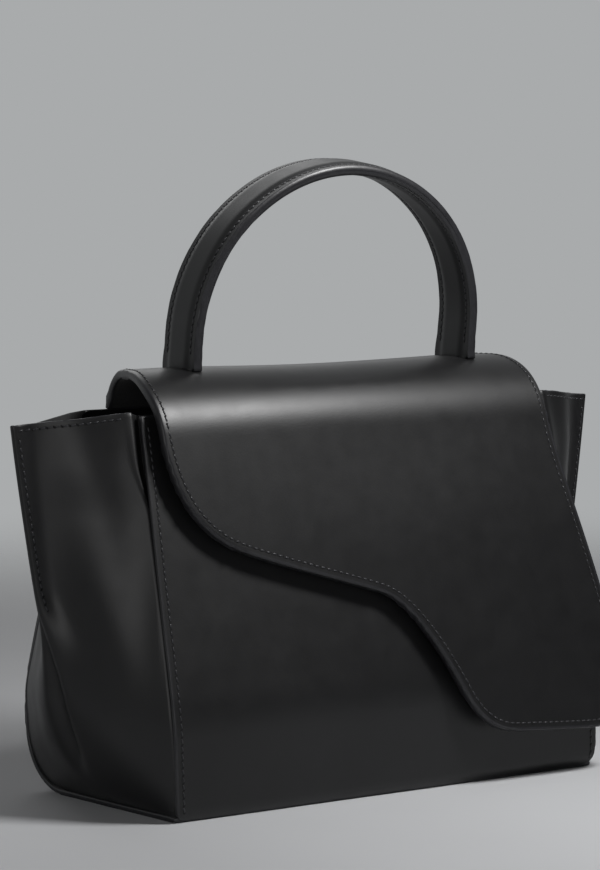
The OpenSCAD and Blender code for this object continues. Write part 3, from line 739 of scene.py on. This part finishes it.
# The thread's lubricated polyester is a shade paler than the leather, with a soft gloss, so the
# rows show as fine beads.
thread, tree, at = new_material("black_bonded_thread")
lay = add(tree, "TexNoise", Vector=at, Scale=every(1.5), Detail=2.0)
tone = add(tree, "ValToRGB", Fac=lay.outputs["Fac"])
tone.color_ramp.elements[0].color = colour("#1e1e21")
tone.color_ramp.elements[1].color = colour("#303034")
bonded = add(tree, "BsdfPrincipled", Base_Color=tone.outputs["Color"], Roughness=0.38)
add(tree, "OutputMaterial", Surface=bonded.outputs[0])

# A needle hole is drawn as a flat disc just above the leather, coloured as painted shade for
# the torn pit that no light comes out of.
hole, tree, at = new_material("needle_hole_shadow")
hole_shade_shader = add(tree, "BsdfPrincipled", Base_Color=colour("#060607"), Roughness=0.9)
add(tree, "OutputMaterial", Surface=hole_shade_shader.outputs[0])


def standing(x_axis, y_axis, z_axis, spot):
    """A matrix that stands a shape on these axes, at a spot in mm."""
    made = Matrix((x_axis, y_axis, z_axis)).transposed().to_4x4()
    made.translation = spot * MM
    return made


def stitch_rows(name, surface, rows, body, slot, step=0.01):
    """Stitches along rows of places (a, b), where surface(a, b) is a point on the leather and
    step is a small move in a or b."""
    bm = bmesh.new()
    scrap = bpy.data.meshes.new("stitch")
    for row in rows:
        spots, runs = measured([Vector(surface(*place)) for place in row])
        count = max(int(runs[-1] / PITCH), 1)
        for k in range(count):
            i, share = stretch(runs, (k + 0.5) / count * runs[-1])
            here = spots[i].lerp(spots[i + 1], share)
            a, b = Vector(row[i]).lerp(Vector(row[i + 1]), share)
            across = Vector(surface(a + step, b)) - Vector(surface(a - step, b))
            up = Vector(surface(a, b + step)) - Vector(surface(a, b - step))
            normal = across.cross(up).normalized()
            run = (spots[i + 1] - spots[i]).normalized()
            side = normal.cross(run).normalized()
            run = (run + side * STITCH_LEAN).normalized()
            side = normal.cross(run).normalized()
            one = bmesh.new()
            long = run * STITCH_L / 2 / THREAD_R
            lie = standing(side * THREAD_FLAT, normal, long, here + normal * THREAD_UP)
            bmesh.ops.create_uvsphere(one, u_segments=6, v_segments=6, radius=THREAD_R * MM,
                                      matrix=lie)
            for face in one.faces:
                face.smooth = True
            # Two flat discs per stitch carry the painted shade of the needle holes.
            for end in (-HOLE_AT, HOLE_AT):
                lie = standing(run, side, normal, here + run * end * STITCH_L + normal * HOLE_UP)
                made = bmesh.ops.create_circle(one, cap_ends=True, segments=6,
                                               radius=HOLE_R * MM, matrix=lie)
                made["verts"][0].link_faces[0].material_index = 1
            one.to_mesh(scrap)
            one.free()
            bm.from_mesh(scrap)
    bpy.data.meshes.remove(scrap)
    finish_piece(name, bm, [thread, hole], body, slot)


left, hem, right = outline_sides(FLAP_SEAM)
seam = [(-p.x, p.y) for p in left + hem[1:] + right[::-1][1:] if p.y > SEAM_TOP]
stitch_rows("flap_stitches", lambda a, b: flap_lift((-a, b)), [seam], "flap", "flap_leather",
            1.0)

for name, place, low, high, count in (("front_panel_stitches", front_place, 0.05, 0.98, 60),
                                      ("back_panel_stitches", back_place, 0.03, 0.98, 90)):
    rows = [[(u, low + (high - low) * k / count) for k in range(count + 1)]
            for u in (PANEL_SEAM, 1 - PANEL_SEAM)]
    stitch_rows(name, place, rows, "body", "panel_leather")

# The gussets are pinched in a fin along the crease, and turned and stitched at the mouth.
FIN_LOW, FIN_HIGH = 0.51, 0.965
last_at = sum(RUNS) + 6 * CORNER
fin_at = (sum(RUNS[:2]) + 2 * CORNER + 1.5) / last_at
mouth_from, mouth_to = (RUNS[0] + CORNER) / last_at, fin_at + 1 / last_at
for name, side, power in (("left_gusset_stitches", -1, LEFT_POWER),
                          ("right_gusset_stitches", 1, RIGHT_POWER)):
    rows = [[(u, FIN_LOW + (FIN_HIGH - FIN_LOW) * k / 60) for k in range(61)]
            for u in (fin_at, 1 - fin_at)]
    mouth = 1 - MOUTH_SEAM / (MOUTH_Z - PANEL_T)
    rows += [[(start + (mouth_to - mouth_from) * k / 40, mouth) for k in range(41)]
             for start in (mouth_from, 1 - mouth_to)]
    stitch_rows(name, gusset_sheet(side, power), rows, "body", "gusset_leather")

# ---- Handle. Two straps sewn face to face round a stiff core, so that the middle stands up in
# a rounded ridge between flat, stitched edges; the edges stop just above the crown.
STRAP_HALF, STRAP_T, STRAP_ROUND, HANDLE_Y = 12.5, 2.5, 1.5, 1.0
FOOT_Z, STOP_Z, TOP_Z = 205.5, 212.5, 218.0
SHOULDER_X, SIDE_R, TOP_R = 8.0, 78.5, 90.5
ARCH_LEAN, LEAN_RISE = math.radians(8), 25
TURN_A = math.acos(SHOULDER_X / (TOP_R - SIDE_R))
LEG_TOP = TOP_Z + (TOP_R - SIDE_R) * math.sin(TURN_A)
LEG_RUN, SIDE_RUN = LEG_TOP - FOOT_Z, SIDE_R * TURN_A
ARCH_RUN = 2 * (LEG_RUN + SIDE_RUN) + TOP_R * (math.pi - 2 * TURN_A)
TAIL_HALF, TAIL_RUN = 8.4, 3.3          # under the stops only the narrow tail goes down
FOOT_FLARE, RIDGE, RIDGE_HALF, RIDGE_SLOPE = 0.9, 0.9, 5.6, 4.0
ENDS = (0, 2.6, 3.4, 5.0, 7.0)          # closer steps where the stops are
STATIONS = ([*ENDS] + [ENDS[-1] + (ARCH_RUN - 2 * ENDS[-1]) * k / 108 for k in range(1, 108)]
            + [ARCH_RUN - run for run in ENDS[::-1]])
STRAP_SEAM = 0.12                       # where the rows run, as a share of the width


def arch_at(run, out, across):
    """A point of the arch, run mm along its middle from the left foot, out mm off the seam
    between the straps and across mm from the middle."""
    mirror = 1
    if run > ARCH_RUN / 2:
        run, mirror = ARCH_RUN - run, -1
    if run < LEG_RUN:
        x, z = -(SHOULDER_X + SIDE_R + out), FOOT_Z + run
    elif run < LEG_RUN + SIDE_RUN:
        turn = (run - LEG_RUN) / SIDE_R
        x = -(SHOULDER_X + (SIDE_R + out) * math.cos(turn))
        z = LEG_TOP + (SIDE_R + out) * math.sin(turn)
    else:
        turn = TURN_A + (run - LEG_RUN - SIDE_RUN) / TOP_R
        x, z = -(TOP_R + out) * math.cos(turn), TOP_Z + (TOP_R + out) * math.sin(turn)
    rise = max(z - STOP_Z, 0)
    tilt = ARCH_LEAN * ease(rise / LEAN_RISE)
    y = across * math.cos(tilt) - rise * math.sin(ARCH_LEAN)
    z = min(z, STOP_Z) + rise * math.cos(ARCH_LEAN) + across * math.sin(tilt)
    return HANDLE_X + mirror * x, HANDLE_Y + y, z


def strap_place(face):
    """place(u, v) for one strap: face 1 is outside and -1 is inside the arch."""
    def place(u, v):
        i, share = int(v * (len(STATIONS) - 1)), v * (len(STATIONS) - 1) % 1
        run = STATIONS[i] + (STATIONS[min(i + 1, len(STATIONS) - 1)] - STATIONS[i]) * share
        end = min(run, ARCH_RUN - run)
        flare = FOOT_FLARE * ease(1 - (end - ENDS[2]) / 14)
        half = STRAP_HALF + flare if end > TAIL_RUN else TAIL_HALF
        across = (1 - 2 * u) * half * face
        ridge = RIDGE * (1 - ease((abs(across) - RIDGE_HALF) / RIDGE_SLOPE))
        wavy = ripple(run, across * 2, 5, 0.16)
        return arch_at(run, face * (STRAP_T + ridge + wavy), across)
    return place


for face, name in ((1, "handle_outer_strap"), (-1, "handle_inner_strap")):
    place = strap_place(face)
    finish_piece(name + "_leather", thicken(laid(22, len(STATIONS) - 1, place), STRAP_T,
                                            STRAP_ROUND, 0, 4),
                 CALF_CUT, "flap", "handle_leather", [name])
    rows = [[(u, 0.05 + 0.9 * k / 200) for k in range(201)] for u in (STRAP_SEAM, 1 - STRAP_SEAM)]
    stitch_rows(name + "_stitches", place, rows, "flap", "handle_leather")

# ---- Linings. Thin matt leather glued inside the walls, suede side out, with a smooth facing
# at the mouth and a slip pocket on the back.
LINING_T, LINING_EDGE, FACING_H = 1.0, 0.3, 24.0
LINING_IN = 4.1                         # from a wall's outer face to the lining's back
CLEAR_IN = LINING_IN + LINING_T
SIDE_IN, END_GAP = 1.6, 0.2
WING_CLEAR, LINING_DROP = 10, 4.5       # the lining stops short of the fin, and dips outwards
FACING_Z = MOUTH_Z - FACING_H
POCKET_T, POCKET_W, POCKET_LOW, POCKET_TOP, POCKET_GAP = 1.2, 150.0, 65.0, 160.0, 0.1
ALL_SUEDE = [black_suede] * 3


def inner_half(z):
    """Half the width inside the walls."""
    return half_width(z) - SIDE_IN


def front_wall(z):
    """y of the front lining's inner face."""
    return front_at(z) + CLEAR_IN


def back_wall(z):
    """y of the back lining's inner face."""
    return back_at(z) - CLEAR_IN


def wall_sheet(wall, low, high, half):
    """place(u, v) on a wall's inner face, between two heights."""
    def place(u, v):
        z = low + (high - low) * v
        x = (2 * u - 1) * half(z)
        return (x if wall(low) > 0 else -x), wall(z), z
    return place


for name, node, place, cuts, skins, slot in (
        ("front_lining_leather", "front_lining",
         wall_sheet(front_wall, CLEAR_IN + END_GAP, FACING_Z, inner_half), (30, 24),
         ALL_SUEDE, "lining_cloth"),
        ("front_facing_leather", "front_facing",
         wall_sheet(front_wall, FACING_Z, MOUTH_Z - END_GAP, inner_half), (30, 6),
         CALF_CUT, "panel_leather"),
        ("back_facing_leather", "back_facing",
         wall_sheet(back_wall, FACING_Z, MOUTH_Z - END_GAP, inner_half), (30, 6),
         CALF_CUT, "panel_leather")):
    finish_piece(name, thicken(laid(*cuts, place), LINING_T, LINING_EDGE, 0, 2), skins, "body",
                 slot, [node])


def back_lining_place(u, v):
    """The back and base lining's inner face, from the front up to the facing."""
    radius = ROLL_R - CLEAR_IN
    start = LINING_IN - BASE_D / 2
    floor, roll = ROLL_Y - start, radius * math.pi / 2
    s = v * (floor + roll + FACING_Z - ROLL_R)
    if s < floor:
        y, z = start + s, CLEAR_IN
    elif s < floor + roll:
        turn = (s - floor) / radius
        y, z = ROLL_Y + radius * math.sin(turn), ROLL_R - radius * math.cos(turn)
    else:
        z = ROLL_R + s - floor - roll
        y = back_wall(z)
    return (2 * u - 1) * inner_half(z), y, z


finish_piece("back_and_base_lining_leather",
             thicken(laid(30, 60, back_lining_place), LINING_T, LINING_EDGE, 0, 2),
             ALL_SUEDE, "body", "lining_cloth", ["back_and_base_lining"])


def gusset_lining_place(side, power):
    """place(u, v) for the lining of one gusset, on its inner face."""
    def place(u, v):
        z = CLEAR_IN + END_GAP + (MOUTH_Z - CLEAR_IN - 2 * END_GAP) * v
        front, back = front_wall(z), back_wall(z)
        if z < ROLL_R:
            back = ROLL_Y + math.sqrt(max((ROLL_R - CLEAR_IN) ** 2 - (ROLL_R - z) ** 2, 0))
        roll = 0.4 + 5.0 * ease((z / MOUTH_Z - 0.55) / 0.45)
        reach = WING_OUT * ((z - PANEL_T) / (MOUTH_Z - PANEL_T)) ** power - WING_CLEAR
        w = abs(2 * u - 1)
        share = 1 - w ** (1 + max(1 - z / BEND_END, 0) ** 1.5)
        x = inner_half(z) + (roll + max(reach - roll, 0) * share) * ease((1 - w) / 0.12)
        y = front + (back - front) * (1 - u if side > 0 else u)
        drop = LINING_DROP / MOUTH_Z * max(x - half_width(z), 0) / WING_REACH
        return side * x, y, z * (1 - drop)
    return place


for side, power, node in ((-1, LEFT_POWER, "left_gusset_lining"),
                          (1, RIGHT_POWER, "right_gusset_lining")):
    finish_piece(node + "_leather", thicken(laid(36, 40, gusset_lining_place(side, power)),
                                            LINING_T, LINING_EDGE, 0, 2),
                 ALL_SUEDE, "body", "lining_cloth", [node])

pocket = wall_sheet(lambda z: back_wall(z) - POCKET_T - POCKET_GAP, POCKET_LOW, POCKET_TOP,
                    lambda z: POCKET_W / 2)
finish_piece("slip_pocket_leather", thicken(laid(24, 20, pocket), POCKET_T, LINING_EDGE, 0, 2),
             CALF_CUT, "body", "panel_leather", ["slip_pocket"])

# ---- Handle patches. A rectangle of calf glued and riveted under the crown, inside the flap,
# over the tab of each foot of the handle.
PATCH_T, PATCH_D, PATCH_Z = 1.4, 18, 202.2
PATCH_IN, PATCH_OUT = 27, 3             # how far it goes to each side of the strap's middle
FOOT_OUT = SHOULDER_X + SIDE_R


def patch_place(low, high):
    """place(u, v) under the crown, from x low to x high."""
    def place(u, v):
        return low + (high - low) * (1 - u), HANDLE_Y + (v - 0.5) * PATCH_D, PATCH_Z
    return place


for side, node in ((-1, "left_handle_patch"), (1, "right_handle_patch")):
    low, high = sorted(HANDLE_X + side * (FOOT_OUT + out) for out in (-PATCH_IN, PATCH_OUT))
    finish_piece(node + "_leather", thicken(laid(12, 8, patch_place(low, high)), PATCH_T, 0.35,
                                            0.2, 2),
                 CALF_CUT, "flap", "flap_lining_leather", [node])

# ---- Hidden parts. Bonded fibre boards stiffen the walls, the crown and the handle; the
# magnets, the tabs and the rivets are nickel-plated steel.
# Board is ground leather pressed with latex: brown, dull and felted.
board, tree, at = new_material("bonded_leather_board")
felt = add(tree, "TexNoise", Vector=at, Scale=every(2.5), Detail=5.0)
tone = add(tree, "ValToRGB", Fac=felt.outputs["Fac"])
tone.color_ramp.elements[0].color = colour("#4a3f33")
tone.color_ramp.elements[1].color = colour("#6b5b49")
rough = add(tree, "Bump", Strength=0.4, Distance=0.3 * MM, Height=felt.outputs["Fac"])
pressed = add(tree, "BsdfPrincipled", Base_Color=tone.outputs["Color"], Roughness=0.85,
              Normal=rough.outputs[0])
add(tree, "OutputMaterial", Surface=pressed.outputs[0])

# Nickel plate is a warm, pale mirror, dulled a little by handling.
nickel, tree, at = new_material("nickel_plated_steel")
handled = add(tree, "TexNoise", Vector=at, Scale=every(4), Detail=3.0)
dull = add(tree, "MapRange", Value=handled.outputs["Fac"], To_Min=0.18, To_Max=0.32)
plate = add(tree, "BsdfPrincipled", Base_Color=colour("#b9b7b2"), Metallic=1.0,
            Roughness=dull.outputs[0])
add(tree, "OutputMaterial", Surface=plate.outputs[0])

for finish, nodes in (
        (board, ("front_board", "back_board", "base_board", "crown_board", "handle_core")),
        (nickel, ("front_magnet", "flap_magnet", "left_handle_anchor", "right_handle_anchor",
                  "handle_rivets"))):
    for node in nodes:
        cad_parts[node].data.materials.clear()
        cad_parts[node].data.materials.append(finish)
